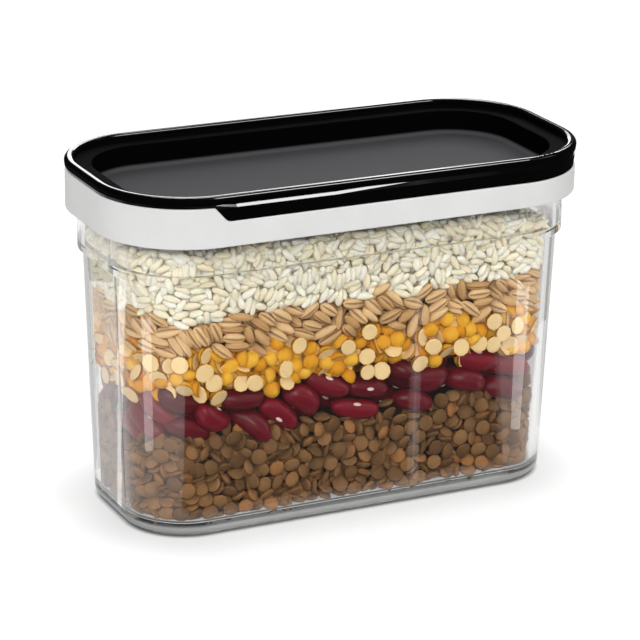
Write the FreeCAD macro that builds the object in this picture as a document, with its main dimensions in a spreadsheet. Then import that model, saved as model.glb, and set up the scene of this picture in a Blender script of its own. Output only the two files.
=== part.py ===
"""Clear pantry box with a soft sealing ring, a black tray lid and five layers of dry food inside.

Frame: origin on the table under the middle of the box, +X along its length, front towards -Y, +Z up.
Every outline seen from above is the neck's rounded rectangle moved outwards by an offset, which is
negative inside the neck, so all the pieces follow the same length, width and corner radius.
"""
import FreeCAD
import Part
import Sketcher

import math
import os

SIZES = [
    # Tub
    ("body_length", "176.1", "outside of the neck, end to end"),
    ("body_width", "80.6", "outside of the neck, front to back"),
    ("body_corner", "28.6", "outside corner radius of the neck"),
    ("body_height", "116.6", "table to the top of the mouth"),
    ("neck_height", "22", "stacking step to the top of the mouth"),
    ("step_inset", "1.9", "how far the wall steps in below the neck"),
    ("foot_draft", "3.5", "how far the wall leans in from the step to the table"),
    ("wall", "3", "wall of the tub"),
    ("floor_level", "4", "inside floor above the table"),
    ("foot_recess", "0.5", "hollow under the base"),
    ("foot_width", "7", "foot ring round that hollow"),
    ("foot_round", "4", "rounding of the lower outside edge"),
    ("floor_round", "3", "rounding inside, between wall and floor"),
    ("step_round", "0.5", "rounding of the stacking step"),
    ("flange_reach", "1.9", "mouth flange beyond the neck"),
    ("flange_thickness", "2.2", "height of the mouth flange"),
    ("mouth_round", "0.5", "rounding of the flange's edges"),
    # Sealing ring
    ("skirt_gap", "0.4", "flange to the inside of the skirt"),
    ("skirt_wall", "1.8", "skirt outside the flange"),
    ("skirt_drop", "7.1", "mouth to the lower edge of the skirt"),
    ("seat_gap", "0.1", "air between pieces that rest on each other"),
    ("web_thickness", "1.9", "flat of the ring over the mouth"),
    ("collar_wall", "1.2", "collar that stands round one end of the lid"),
    ("collar_rise", "5.3", "collar above the web"),
    ("lip_gap", "0.25", "lip to the inside of the neck"),
    ("lip_wall", "0.6", "lip inside the mouth"),
    ("lip_drop", "4", "lip below the mouth"),
    ("ring_round", "0.5", "rounding of the skirt and the collar"),
    ("notch_from_end", "35.2", "end of the ring to the foot of the slanted notch"),
    ("notch_run", "4.8", "length of the slanted notch along the box"),
    ("notch_head_round", "1.5", "rounding where the notch meets the top of the collar"),
    ("notch_foot_round", "2.6", "rounding where the notch meets the web"),
    # Lid
    ("lid_height", "9.1", "underside of the lid's edge to the top of the rim"),
    ("rim_overhang", "0.4", "top of the rim beyond the ring's outline"),
    ("band_flare", "1", "how far the edge leans in from the rim to its underside"),
    ("rim_wall", "3.6", "width of the rim"),
    ("rim_rise", "2.8", "rim above the shoulder"),
    ("rim_round", "1.5", "rounding of the rim"),
    ("rim_root", "1", "rounding between the rim and the shoulder"),
    ("tray_depth", "11.5", "rim to the tray floor"),
    ("tray_floor", "2", "thickness of the tray floor"),
    ("tray_round", "2", "rounding between tray wall and tray floor"),
    ("shoulder_round", "0.5", "rounding of the shoulder above the tray"),
    ("plug_gap", "0.2", "tray wall to the ring's lip"),
    ("plug_wall", "1.3", "wall of the tray inside the mouth"),
    ("deck_wall", "2", "shell of the lid round its hollow underside"),
    ("collar_gap", "0.2", "lid to the inside of the collar"),
    ("notch_gap", "0.15", "slanted end of the band to the collar"),
    ("ledge_length", "66", "finger ledge along the band, from the notch"),
    ("ledge_height", "4.7", "finger ledge above the underside of the edge"),
    ("groove_depth", "1.2", "finger groove above the ledge, front to back"),
    ("groove_rise", "1.4", "height of the groove's lower face, which slopes like a chamfer"),
    ("groove_lean", "30", "degrees by which the groove's upper face leans out to the rim"),
    ("groove_length", "72", "finger groove along the band, from the notch"),
    ("groove_run_in", "8", "from the groove's start to where it is deepest"),
    ("groove_run_out", "26", "from its deepest stretch to its far end, where it fades"),
    # Contents, from the bottom up
    ("fill_gap", "0.3", "contents to the wall"),
    ("headspace", "12.6", "top of the contents to the mouth"),
    ("lump_pitch", "12", "lumps of loose food along the wall"),
    ("lump_depth", "2.5", "hollows between those lumps"),
    ("lump_gap", "6", "width of the hollows at the wall"),
    ("lump_slot", "1.5", "height of the level hollows"),
    ("lentil_portion", "32.5", "share of lentils in the fill"),
    ("bean_portion", "13.7", "share of kidney beans in the fill"),
    ("pea_portion", "17", "share of split peas in the fill"),
    ("wheat_portion", "13", "share of wheat in the fill"),
    ("rice_portion", "23.5", "share of rice in the fill"),
]

LAYERS = [
    ("lentil_layer", "lentil_portion"),
    ("kidney_bean_layer", "bean_portion"),
    ("split_pea_layer", "pea_portion"),
    ("wheat_layer", "wheat_portion"),
    ("rice_layer", "rice_portion"),
]


class SheetNames:
    """Gives the expression that reads a cell of the sheet, so that S.wall is 'Sizes.wall'."""

    def __getattr__(self, alias):
        return "Sizes." + alias


S = SheetNames()

# Heights above the table
STEP = f"({S.body_height} - {S.neck_height})"
INNER_STEP = f"({STEP} + {S.wall})"
SKIRT_FOOT = f"({S.body_height} - {S.skirt_drop})"
LIP_FOOT = f"({S.body_height} - {S.lip_drop})"
WEB_FOOT = f"({S.body_height} + {S.seat_gap})"
WEB_TOP = f"({WEB_FOOT} + {S.web_thickness})"
COLLAR_TOP = f"({WEB_TOP} + {S.collar_rise})"
LID_FOOT = f"({WEB_TOP} + {S.seat_gap})"
LID_TOP = f"({LID_FOOT} + {S.lid_height})"
RIM_FOOT = f"({COLLAR_TOP} + {S.seat_gap})"
SHOULDER = f"({LID_TOP} - {S.rim_rise})"
TRAY_TOP = f"({LID_TOP} - {S.tray_depth})"
TRAY_FOOT = f"({TRAY_TOP} - {S.tray_floor})"
FILL_FOOT = f"({S.floor_level} + {S.fill_gap})"
FILL_TOP = f"({S.body_height} - {S.headspace})"

# Offsets from the outside of the neck, outwards
WALL_TOP = f"(-{S.step_inset})"
WALL_FOOT = f"({WALL_TOP} - {S.foot_draft})"
FOOT_RING = f"({WALL_FOOT} - {S.foot_width})"
SKIRT_IN = f"({S.flange_reach} + {S.skirt_gap})"
SKIRT_OUT = f"({SKIRT_IN} + {S.skirt_wall})"
COLLAR_IN = f"({SKIRT_OUT} - {S.collar_wall})"
LIP_OUT = f"(-{S.wall} - {S.lip_gap})"
LIP_IN = f"({LIP_OUT} - {S.lip_wall})"
RIM_OUT = f"({SKIRT_OUT} + {S.rim_overhang})"
RIM_IN = f"({RIM_OUT} - {S.rim_wall})"
BAND_FOOT = f"({RIM_OUT} - {S.band_flare})"
DECK_OUT = f"({COLLAR_IN} - {S.collar_gap})"
PLUG_OUT = f"({LIP_IN} - {S.plug_gap})"
TRAY_WALL = f"({PLUG_OUT} - {S.plug_wall})"

# Distances from the middle of the box to the notch, towards -X
NOTCH_FOOT = f"({S.body_length} / 2 + {SKIRT_OUT} - {S.notch_from_end})"
NOTCH_HEAD = f"({NOTCH_FOOT} + {S.notch_run})"
PAST_END = f"({S.body_length} + {SKIRT_OUT})"

doc = FreeCAD.newDocument("food_storage_container")


def make_sheet():
    sheet = doc.addObject("Spreadsheet::Sheet", "Sizes")
    for row, (alias, number, meaning) in enumerate(SIZES, start=1):
        sheet.set(f"A{row}", meaning)
        sheet.set(f"B{row}", number)
        sheet.setAlias(f"B{row}", alias)
    doc.recompute()
    return sheet


SHEET = make_sheet()


def value(expression):
    """The number that an expression has now."""
    return float(SHEET.evalExpression(expression))


def plane(body, role):
    return next(item for item in body.Origin.OriginFeatures if item.Role == role)


def constrain(sketch, name, expression, kind, *elements):
    """Adds a dimension to a sketch and binds it to an expression."""
    index = sketch.addConstraint(Sketcher.Constraint(kind, *elements, value(expression)))
    sketch.renameConstraint(index, name)
    sketch.setExpression(f"Constraints.{name}", expression)


def add_outline(sketch, name, offset):
    """Draws the neck's rounded rectangle, moved outwards by an offset, about the sketch's origin."""
    length = f"{S.body_length} + 2 * {offset}"
    width = f"{S.body_width} + 2 * {offset}"
    radius = f"{S.body_corner} + {offset}"
    half_length = value(length) / 2
    half_width = value(width) / 2
    corner = value(radius)
    straight_x = half_length - corner
    straight_y = half_width - corner

    def point(x, y):
        return FreeCAD.Vector(x, y, 0)

    def arc(x, y, start):
        circle = Part.Circle(point(x, y), FreeCAD.Vector(0, 0, 1), corner)
        return Part.ArcOfCircle(circle, start, start + math.pi / 2)

    first = sketch.GeometryCount
    sketch.addGeometry(Part.LineSegment(point(-straight_x, -half_width), point(straight_x, -half_width)))
    sketch.addGeometry(arc(straight_x, -straight_y, -math.pi / 2))
    sketch.addGeometry(Part.LineSegment(point(half_length, -straight_y), point(half_length, straight_y)))
    sketch.addGeometry(arc(straight_x, straight_y, 0))
    sketch.addGeometry(Part.LineSegment(point(straight_x, half_width), point(-straight_x, half_width)))
    sketch.addGeometry(arc(-straight_x, straight_y, math.pi / 2))
    sketch.addGeometry(Part.LineSegment(point(-half_length, straight_y), point(-half_length, -straight_y)))
    sketch.addGeometry(arc(-straight_x, -straight_y, math.pi))
    front, right, back, left = (first + step for step in (0, 2, 4, 6))
    for step in range(8):
        sketch.addConstraint(Sketcher.Constraint("Tangent", first + step, 2, first + (step + 1) % 8, 1))
    for side in (front, back):
        sketch.addConstraint(Sketcher.Constraint("Horizontal", side))
    for side in (left, right):
        sketch.addConstraint(Sketcher.Constraint("Vertical", side))
    for step in (3, 5, 7):
        sketch.addConstraint(Sketcher.Constraint("Equal", first + 1, first + step))
    sketch.addConstraint(Sketcher.Constraint("Symmetric", front, 1, back, 1, -1, 1))
    constrain(sketch, f"{name}_length", length, "DistanceX", left, 1, right, 1)
    constrain(sketch, f"{name}_width", width, "DistanceY", front, 1, back, 1)
    constrain(sketch, f"{name}_corner", radius, "Radius", first + 1)


def level_sketch(body, name, level, *offsets):
    """A sketch parallel to the table with one outline, or a ring between two."""
    sketch = body.newObject("Sketcher::SketchObject", name)
    sketch.AttachmentSupport = (plane(body, "XY_Plane"), [""])
    sketch.MapMode = "FlatFace"
    sketch.setExpression("AttachmentOffset.Base.z", level)
    for offset, side in zip(offsets, ("outer", "inner")):
        add_outline(sketch, side, offset)
    return sketch


def polygon_sketch(body, name, role, level, *polygons):
    """A sketch of shapes with straight sides; each corner is two expressions, measured from the origin."""
    sketch = body.newObject("Sketcher::SketchObject", name)
    sketch.AttachmentSupport = (plane(body, role), [""])
    sketch.MapMode = "FlatFace"
    if level:
        sketch.setExpression("AttachmentOffset.Base.z", level)
    for corners in polygons:
        places = [FreeCAD.Vector(value(across), value(along), 0) for across, along in corners]
        count = len(places)
        first = sketch.GeometryCount
        for index in range(count):
            sketch.addGeometry(Part.LineSegment(places[index], places[(index + 1) % count]))
        for index in range(count):
            following = first + (index + 1) % count
            sketch.addConstraint(Sketcher.Constraint("Coincident", first + index, 2, following, 1))
        for index, (across, along) in enumerate(corners, start=first):
            constrain(sketch, f"across_{index}", across, "DistanceX", -1, 1, index, 1)
            constrain(sketch, f"along_{index}", along, "DistanceY", -1, 1, index, 1)
    return sketch


def pad(body, name, sketch, height):
    feature = body.newObject("PartDesign::Pad", name)
    feature.Profile = sketch
    feature.setExpression("Length", height)
    return feature


def pocket(body, name, sketch, depth, upwards=False):
    feature = body.newObject("PartDesign::Pocket", name)
    feature.Profile = sketch
    feature.Reversed = upwards
    feature.setExpression("Length", depth)
    return feature


def cut_across(body, name, sketch):
    """Cuts a side-view sketch through the whole width of a body."""
    feature = pocket(body, name, sketch, f"{S.body_width} * 2")
    feature.SideType = "Symmetric"
    return feature


def loft(body, name, kind, low, high):
    feature = body.newObject(f"PartDesign::{kind}Loft", name)
    feature.Profile = low
    feature.Sections = [high]
    feature.Ruled = True
    return feature


def outline_offset(point):
    """How far a point is outside the neck's outline, seen from above."""
    corner = value(S.body_corner)
    across = abs(point.x) - (value(S.body_length) / 2 - corner)
    along = abs(point.y) - (value(S.body_width) / 2 - corner)
    outside = math.hypot(max(across, 0), max(along, 0))
    return outside + min(max(across, along), 0) - corner


def edges_at(shape, level, offset):
    """Names of the level edges that follow an outline at a height."""
    names = []
    for index, edge in enumerate(shape.Edges, start=1):
        middle = edge.valueAt((edge.FirstParameter + edge.LastParameter) / 2)
        ends = [vertex.Point for vertex in edge.Vertexes]
        is_level = all(abs(point.z - value(level)) < 0.01 for point in ends + [middle])
        if is_level and abs(outline_offset(middle) - value(offset)) < 0.02:
            names.append(f"Edge{index}")
    return names


def round_edges(body, name, radius, *places):
    """Rounds the edges that follow the outlines in places, each a height and an offset."""
    doc.recompute()
    base = body.Tip
    names = []
    for level, offset in places:
        found = edges_at(base.Shape, level, offset)
        if not found:
            raise RuntimeError(f"{body.Label}: {name} finds no edge at {level}, {offset}")
        names += found
    feature = body.newObject("PartDesign::Fillet", name)
    feature.Base = (base, names)
    feature.setExpression("Radius", radius)
    return feature


def round_across(body, name, radius, across, level):
    """Rounds the edges that run from front to back at a distance along the box and a height."""
    doc.recompute()
    base = body.Tip
    place = FreeCAD.Vector(value(across), 0, value(level))
    names = []
    for index, edge in enumerate(base.Shape.Edges, start=1):
        ends = [vertex.Point for vertex in edge.Vertexes]
        misses = [math.hypot(point.x - place.x, point.z - place.z) for point in ends]
        if len(ends) == 2 and max(misses) < 0.01:
            names.append(f"Edge{index}")
    if not names:
        raise RuntimeError(f"{body.Label}: {name} finds no edge at {across}, {level}")
    feature = body.newObject("PartDesign::Fillet", name)
    feature.Base = (base, names)
    feature.setExpression("Radius", radius)
    return feature


def new_body(label):
    body = doc.addObject("PartDesign::Body", label)
    body.Label = label
    return body


def container_body():
    """The clear tub: drafted wall, stacking step, neck, mouth flange and hollow foot."""
    body = new_body("container_body")
    foot = level_sketch(body, "foot_outline", "0", WALL_FOOT)
    step = level_sketch(body, "step_outline", STEP, WALL_TOP)
    loft(body, "drafted_wall", "Additive", foot, step)
    pad(body, "neck", level_sketch(body, "neck_outline", STEP, "0"), S.neck_height)
    flange_foot = f"({S.body_height} - {S.flange_thickness})"
    flange = level_sketch(body, "flange_outline", flange_foot, S.flange_reach)
    pad(body, "mouth_flange", flange, S.flange_thickness)
    floor = level_sketch(body, "floor_outline", S.floor_level, f"({WALL_FOOT} - {S.wall})")
    inner_step = level_sketch(body, "inner_step_outline", INNER_STEP, f"({WALL_TOP} - {S.wall})")
    loft(body, "inside", "Subtractive", floor, inner_step)
    mouth = level_sketch(body, "mouth_outline", S.body_height, f"(-{S.wall})")
    pocket(body, "mouth", mouth, f"{S.body_height} - {INNER_STEP}")
    recess = level_sketch(body, "recess_outline", "0", FOOT_RING)
    pocket(body, "foot_hollow", recess, S.foot_recess, upwards=True)
    round_edges(body, "foot_edge", S.foot_round, ("0", WALL_FOOT))
    round_edges(body, "floor_edge", S.floor_round, (S.floor_level, f"({WALL_FOOT} - {S.wall})"))
    round_edges(body, "step_edge", S.step_round, (STEP, "0"))
    round_edges(body, "flange_edge", S.mouth_round, (S.body_height, S.flange_reach),
                (flange_foot, S.flange_reach), (S.body_height, f"(-{S.wall})"))
    return body


def seal_ring():
    """The soft ring: skirt outside the flange, web over the mouth, lip inside, collar round one end."""
    body = new_body("seal_ring")
    outline = level_sketch(body, "skirt_outline", SKIRT_FOOT, SKIRT_OUT)
    pad(body, "skirt", outline, f"{COLLAR_TOP} - {SKIRT_FOOT}")
    above = f"({COLLAR_TOP} + {S.collar_rise})"
    notch = polygon_sketch(body, "notch_outline", "XZ_Plane", None, [
        (f"-{NOTCH_FOOT}", WEB_TOP),
        (PAST_END, WEB_TOP),
        (PAST_END, above),
        (f"-{NOTCH_HEAD} - {S.notch_run}", above),
        (f"-{NOTCH_HEAD}", COLLAR_TOP),
    ])
    cut_across(body, "notch", notch)
    round_across(body, "notch_head_corner", S.notch_head_round, f"-{NOTCH_HEAD}", COLLAR_TOP)
    round_across(body, "notch_foot_corner", S.notch_foot_round, f"-{NOTCH_FOOT}", WEB_TOP)
    collar = level_sketch(body, "collar_outline", COLLAR_TOP, COLLAR_IN)
    pocket(body, "collar", collar, S.collar_rise)
    inside = level_sketch(body, "skirt_inside", SKIRT_FOOT, SKIRT_IN)
    pocket(body, "skirt_hollow", inside, f"{WEB_FOOT} - {SKIRT_FOOT}", upwards=True)
    lip = level_sketch(body, "lip_outline", LIP_FOOT, LIP_OUT)
    pad(body, "lip", lip, f"{WEB_TOP} - {LIP_FOOT}")
    hole = level_sketch(body, "hole_outline", LIP_FOOT, LIP_IN)
    pocket(body, "hole", hole, f"{WEB_TOP} - {LIP_FOOT}", upwards=True)
    round_edges(body, "skirt_edge", S.ring_round, (SKIRT_FOOT, SKIRT_OUT), (COLLAR_TOP, SKIRT_OUT))
    return body


def groove_sketch(body, name, sign, level, deepest):
    """Plan of the finger groove at a height: deepest in the middle, fading towards both ends."""
    start = f"-{NOTCH_HEAD}"
    stop = f"({S.groove_length} - {NOTCH_HEAD})"
    faded = f"({deepest} + {S.groove_depth})"
    return polygon_sketch(body, name, "XY_Plane", level, [
        (start, f"{sign}{PAST_END}"),
        (start, f"{sign}{faded}"),
        (f"{start} + {S.groove_run_in}", f"{sign}{deepest}"),
        (f"{stop} - {S.groove_run_out}", f"{sign}{deepest}"),
        (stop, f"{sign}{faded}"),
        (stop, f"{sign}{PAST_END}"),
    ])


def lid_tray():
    """The black lid: flared edge with a deep band, finger ledges, rim, shoulder and sunken tray."""
    body = new_body("lid_tray")
    band_foot = level_sketch(body, "band_outline", LID_FOOT, BAND_FOOT)
    rim_top = level_sketch(body, "rim_outline", LID_TOP, RIM_OUT)
    loft(body, "flared_edge", "Additive", band_foot, rim_top)
    ledge_out = f"({S.body_width} / 2 + {SKIRT_OUT})"
    ledge_in = f"({S.body_width} / 2 + {BAND_FOOT})"
    ledge_end = f"({S.ledge_length} - {NOTCH_FOOT})"
    for side, sign in (("front", "-"), ("back", "")):
        ledge = polygon_sketch(body, f"{side}_ledge_outline", "XY_Plane", LID_FOOT, [
            (f"-{NOTCH_HEAD}", f"{sign}{ledge_out}"),
            (ledge_end, f"{sign}{ledge_in}"),
            (ledge_end, f"{sign}{RIM_IN}"),
            (f"-{NOTCH_HEAD}", f"{sign}{RIM_IN}"),
        ])
        pad(body, f"{side}_finger_ledge", ledge, S.ledge_height)
    below = f"({LID_FOOT} - {S.lid_height})"
    slope = f"{S.notch_run} / {S.collar_rise}"
    notch = polygon_sketch(body, "notch_outline", "XZ_Plane", None, [
        (f"-{NOTCH_FOOT} + {S.notch_gap} + {S.lid_height} * {slope}", below),
        (f"-{NOTCH_HEAD} + {S.notch_gap}", RIM_FOOT),
        (f"-{PAST_END}", RIM_FOOT),
        (f"-{PAST_END}", below),
    ])
    cut_across(body, "notch", notch)
    round_across(body, "notch_head_corner", S.notch_head_round, f"-{NOTCH_HEAD} + {S.notch_gap}", RIM_FOOT)
    round_across(body, "notch_foot_corner", S.notch_foot_round, f"-{NOTCH_FOOT} + {S.notch_gap}", LID_FOOT)
    deck = level_sketch(body, "deck_outline", LID_FOOT, DECK_OUT)
    pad(body, "deck", deck, f"{SHOULDER} - {LID_FOOT}")
    groove_foot = f"({LID_FOOT} + {S.ledge_height})"
    groove_top = f"({LID_TOP} - {S.rim_round})"
    for side, sign in (("front", "-"), ("back", "")):
        lower = groove_sketch(body, f"{side}_groove_foot", sign, groove_foot, ledge_out)
        slope = pocket(body, f"{side}_groove_slope", lower, S.groove_rise, upwards=True)
        slope.setExpression("TaperAngle", f"atan({S.groove_depth} / {S.groove_rise})")
        upper = groove_sketch(body, f"{side}_groove_middle", sign, f"({groove_foot} + {S.groove_rise})",
                              f"({ledge_out} - {S.groove_depth})")
        grip = pocket(body, f"{side}_groove_grip", upper, f"{groove_top} - {groove_foot} - {S.groove_rise}",
                      upwards=True)
        grip.setExpression("TaperAngle", f"-{S.groove_lean}")
    plug = level_sketch(body, "plug_outline", TRAY_FOOT, PLUG_OUT)
    pad(body, "plug", plug, f"{SHOULDER} - {TRAY_FOOT}")
    rim_inside = level_sketch(body, "rim_inside", LID_TOP, RIM_IN)
    pocket(body, "rim_hollow", rim_inside, S.rim_rise)
    tray = level_sketch(body, "tray_outline", SHOULDER, TRAY_WALL)
    pocket(body, "tray_hollow", tray, f"{SHOULDER} - {TRAY_TOP}")
    channel_out = f"({DECK_OUT} - {S.deck_wall})"
    channel = level_sketch(body, "channel_outline", LID_FOOT, channel_out, PLUG_OUT)
    pocket(body, "underside_channel", channel, f"{SHOULDER} - {S.deck_wall} - {LID_FOOT}", upwards=True)
    round_edges(body, "rim_edge", S.rim_round, (LID_TOP, RIM_OUT), (LID_TOP, RIM_IN))
    round_edges(body, "rim_root_edge", S.rim_root, (SHOULDER, RIM_IN))
    round_edges(body, "shoulder_edge", S.shoulder_round, (SHOULDER, TRAY_WALL))
    round_edges(body, "tray_edge", S.tray_round, (TRAY_TOP, TRAY_WALL))
    return body


def lump_notches(surface):
    """Corners of the hollows between lumps of food, seen from above, for a wall at an offset."""
    straight_x = f"({S.body_length} / 2 - {S.body_corner})"
    straight_y = f"({S.body_width} / 2 - {S.body_corner})"
    outer = f"({S.body_corner} + {surface} + {S.lump_depth})"
    inner = f"({S.body_corner} + {surface} - {S.lump_depth})"
    half_gap = f"({S.lump_gap} / 2)"
    notches = []
    last = int(value(straight_x) / value(S.lump_pitch))
    for index in range(-last, last + 1):
        middle = f"{index} * {S.lump_pitch}"
        for sign in ("-", ""):
            notches.append([
                (f"{middle} - {half_gap}", f"{sign}({straight_y} + {outer})"),
                (f"{middle} + {half_gap}", f"{sign}({straight_y} + {outer})"),
                (middle, f"{sign}({straight_y} + {inner})"),
            ])
    for sign in ("-", ""):
        notches.append([
            (f"{sign}({straight_x} + {outer})", f"-{half_gap}"),
            (f"{sign}({straight_x} + {outer})", half_gap),
            (f"{sign}({straight_x} + {inner})", "0"),
        ])
    for sign_x in ("-", ""):
        for sign_y in ("-", ""):
            notches.append([
                (f"{sign_x}({straight_x} + ({outer} - {half_gap}) * sqrt(0.5))",
                 f"{sign_y}({straight_y} + ({outer} + {half_gap}) * sqrt(0.5))"),
                (f"{sign_x}({straight_x} + ({outer} + {half_gap}) * sqrt(0.5))",
                 f"{sign_y}({straight_y} + ({outer} - {half_gap}) * sqrt(0.5))"),
                (f"{sign_x}({straight_x} + {inner} * sqrt(0.5))",
                 f"{sign_y}({straight_y} + {inner} * sqrt(0.5))"),
            ])
    return notches


def add_lumps(body, name, foot, rise, surface, rows):
    """Breaks the outside of a layer into lumps, with upright hollows and level ones between rows."""
    upright = polygon_sketch(body, f"{name}_hollow_plan", "XY_Plane", foot, *lump_notches(surface))
    pocket(body, f"{name}_hollows", upright, rise, upwards=True)
    for row in range(1, rows):
        level = f"({foot} + {rise} * {row} / {rows})"
        ring = level_sketch(body, f"{name}_row_{row}_plan", level, f"({surface} + {S.lump_depth})",
                            f"({surface} - {S.lump_depth})")
        pocket(body, f"{name}_row_{row}", ring, S.lump_slot, upwards=True)


def layer_span(number):
    """Foot and depth of one of the layers, counted from the bottom."""
    total = "(" + " + ".join(f"Sizes.{portion}" for _, portion in LAYERS) + ")"
    depth = f"({FILL_TOP} - {FILL_FOOT})"
    below = " + ".join(["0"] + [f"Sizes.{portion}" for _, portion in LAYERS[:number]])
    return f"({FILL_FOOT} + {depth} * ({below}) / {total})", f"({depth} * Sizes.{LAYERS[number][1]} / {total})"


def fill_core():
    """The space inside the tub, a little smaller than it, which the layers divide."""
    body = new_body("fill_core")
    foot_offset = f"({WALL_FOOT} - {S.wall} - {S.fill_gap})"
    floor = level_sketch(body, "fill_floor", FILL_FOOT, foot_offset)
    step_level = f"({INNER_STEP} + {S.fill_gap})"
    step = level_sketch(body, "fill_step", step_level, f"({WALL_TOP} - {S.wall} - {S.fill_gap})")
    loft(body, "lower_fill", "Additive", floor, step)
    neck = level_sketch(body, "fill_neck", step_level, f"(-{S.wall} - {S.fill_gap})")
    pad(body, "upper_fill", neck, f"{S.body_height} - {step_level}")
    round_edges(body, "fill_edge", S.floor_round, (FILL_FOOT, foot_offset))
    lentil_foot, lentil_rise = layer_span(0)
    add_lumps(body, "lentil", lentil_foot, lentil_rise, foot_offset, 3)
    rice_foot, rice_rise = layer_span(len(LAYERS) - 1)
    add_lumps(body, "rice", rice_foot, rice_rise, f"({WALL_TOP} - {S.wall} - {S.fill_gap})", 2)
    return body


def food_layers(core):
    """Cuts the core into layers, each a share of the depth between the floor and the headspace."""
    layers = []
    for number, (label, _) in enumerate(LAYERS):
        foot, rise = layer_span(number)
        slab = doc.addObject("Part::Box", f"{label}_slab")
        slab.setExpression("Length", PAST_END)
        slab.setExpression("Width", PAST_END)
        slab.setExpression("Height", rise)
        slab.setExpression("Placement.Base.x", f"-{PAST_END} / 2")
        slab.setExpression("Placement.Base.y", f"-{PAST_END} / 2")
        slab.setExpression("Placement.Base.z", foot)
        layer = doc.addObject("Part::Common", label)
        layer.Label = label
        layer.Base = core
        layer.Tool = slab
        layers.append(layer)
    return layers


def check_document(parts):
    """Stops before anything is written if a feature failed or a shape is not a sound solid."""
    for item in doc.Objects:
        if "Invalid" in item.State or "Error" in item.State:
            raise RuntimeError(f"{item.Label} did not build: {item.State}")
    for part in parts:
        shape = part.Shape
        if shape.isNull() or not shape.isValid() or len(shape.Solids) != 1:
            raise RuntimeError(f"{part.Label} is not one valid solid")


def write_parts(parts):
    os.makedirs("parts", exist_ok=True)
    for part in parts:
        part.Shape.exportStep(os.path.join("parts", part.Label + ".step"))
        box = part.Shape.optimalBoundingBox(False, False)
        print(f"{part.Label}: {part.Shape.Volume / 1000:.1f} cm3, "
              f"{box.XLength:.1f} x {box.YLength:.1f} x {box.ZLength:.1f} mm from z {box.ZMin:.1f}")


pieces = [container_body(), seal_ring(), lid_tray()]
pieces += food_layers(fill_core())
doc.recompute()
check_document(pieces)
write_parts(pieces)
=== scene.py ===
# %% [markdown]
# A clear pantry box with a black tray lid, dressed in Blender.
# The solids come from a CAD model and never move here: a clear tub, a soft pale ring, a black lid and
# five slabs that stand for layers of dry food. This lesson gives the plastics their finish and
# swaps each slab for real-looking grains, packed against the wall as they are in the box.

import math

import bmesh
import bpy
import numpy as np
from mathutils import Matrix, Vector


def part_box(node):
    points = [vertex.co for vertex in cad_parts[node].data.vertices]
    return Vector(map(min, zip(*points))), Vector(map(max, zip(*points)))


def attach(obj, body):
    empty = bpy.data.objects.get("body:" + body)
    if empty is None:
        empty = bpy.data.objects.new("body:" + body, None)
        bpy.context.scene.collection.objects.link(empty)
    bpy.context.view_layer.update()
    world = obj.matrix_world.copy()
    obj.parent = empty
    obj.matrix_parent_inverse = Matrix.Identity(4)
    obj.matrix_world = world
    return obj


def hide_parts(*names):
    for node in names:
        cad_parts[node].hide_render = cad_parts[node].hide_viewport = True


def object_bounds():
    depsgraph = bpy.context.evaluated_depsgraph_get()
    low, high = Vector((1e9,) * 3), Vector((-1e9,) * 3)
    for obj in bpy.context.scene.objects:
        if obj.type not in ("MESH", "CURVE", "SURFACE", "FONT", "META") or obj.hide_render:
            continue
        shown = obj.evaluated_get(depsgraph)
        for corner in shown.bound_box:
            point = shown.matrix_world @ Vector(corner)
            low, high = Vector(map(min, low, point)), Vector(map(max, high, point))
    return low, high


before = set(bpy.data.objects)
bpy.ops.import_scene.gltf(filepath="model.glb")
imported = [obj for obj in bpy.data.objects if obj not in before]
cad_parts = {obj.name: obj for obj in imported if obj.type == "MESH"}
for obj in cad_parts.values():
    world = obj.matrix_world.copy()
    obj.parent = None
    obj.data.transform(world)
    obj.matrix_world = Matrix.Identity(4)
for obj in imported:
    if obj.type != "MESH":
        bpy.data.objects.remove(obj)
cad_low, cad_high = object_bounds()
MM = 0.001
print("solids:", sorted(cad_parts), "box in mm:", [round(v / MM, 1) for v in cad_high - cad_low])

# %% [markdown]
# The camera stands where the photographer stood: to the left of the front, a little above, far away with
# a long lens, so that the long edges hardly converge. The three numbers of its aim say how far the line
# of sight passes from the middle of the base, to the right and upwards, and how far off the camera is.

# %% Camera
CAMERA_AZIMUTH = math.radians(-25.941)
CAMERA_ELEVATION = math.radians(19.094)
CAMERA_ROLL = math.radians(0.853)
CAMERA_AIM = Vector((0.46, 58.132, 1116.491)) * MM
FOCAL_PIXELS = 3007.0
IMAGE_PIXELS = 640
SENSOR = 36.0


def view_axes(azimuth, elevation, roll):
    """The camera's right, up and backward directions."""
    level = math.cos(elevation)
    back = Vector((math.sin(azimuth) * level, -math.cos(azimuth) * level, math.sin(elevation)))
    right = Vector((math.cos(azimuth), math.sin(azimuth), 0))
    up = back.cross(right)
    turned_right = right * math.cos(roll) + up * math.sin(roll)
    turned_up = up * math.cos(roll) - right * math.sin(roll)
    return turned_right, turned_up, back


axes = Matrix(view_axes(CAMERA_AZIMUTH, CAMERA_ELEVATION, CAMERA_ROLL)).transposed()
camera_place = axes @ CAMERA_AIM
camera_data = bpy.data.cameras.new("photo_camera")
camera_data.sensor_width = SENSOR
camera_data.lens = SENSOR * FOCAL_PIXELS / IMAGE_PIXELS
camera = bpy.data.objects.new("photo_camera", camera_data)
camera.matrix_world = Matrix.Translation(camera_place) @ axes.to_4x4()
bpy.context.scene.collection.objects.link(camera)
bpy.context.scene.camera = camera
bpy.context.scene.view_settings.view_transform = "Standard"
print("lens in mm:", round(camera_data.lens, 1))

# %% [markdown]
# Shader maths reads best as plain arithmetic. The class below wraps a socket, so that `1 - mask` or
# `tone * 0.4` adds the Math node for it, and one method adds any other node from its settings and sockets.

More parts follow.
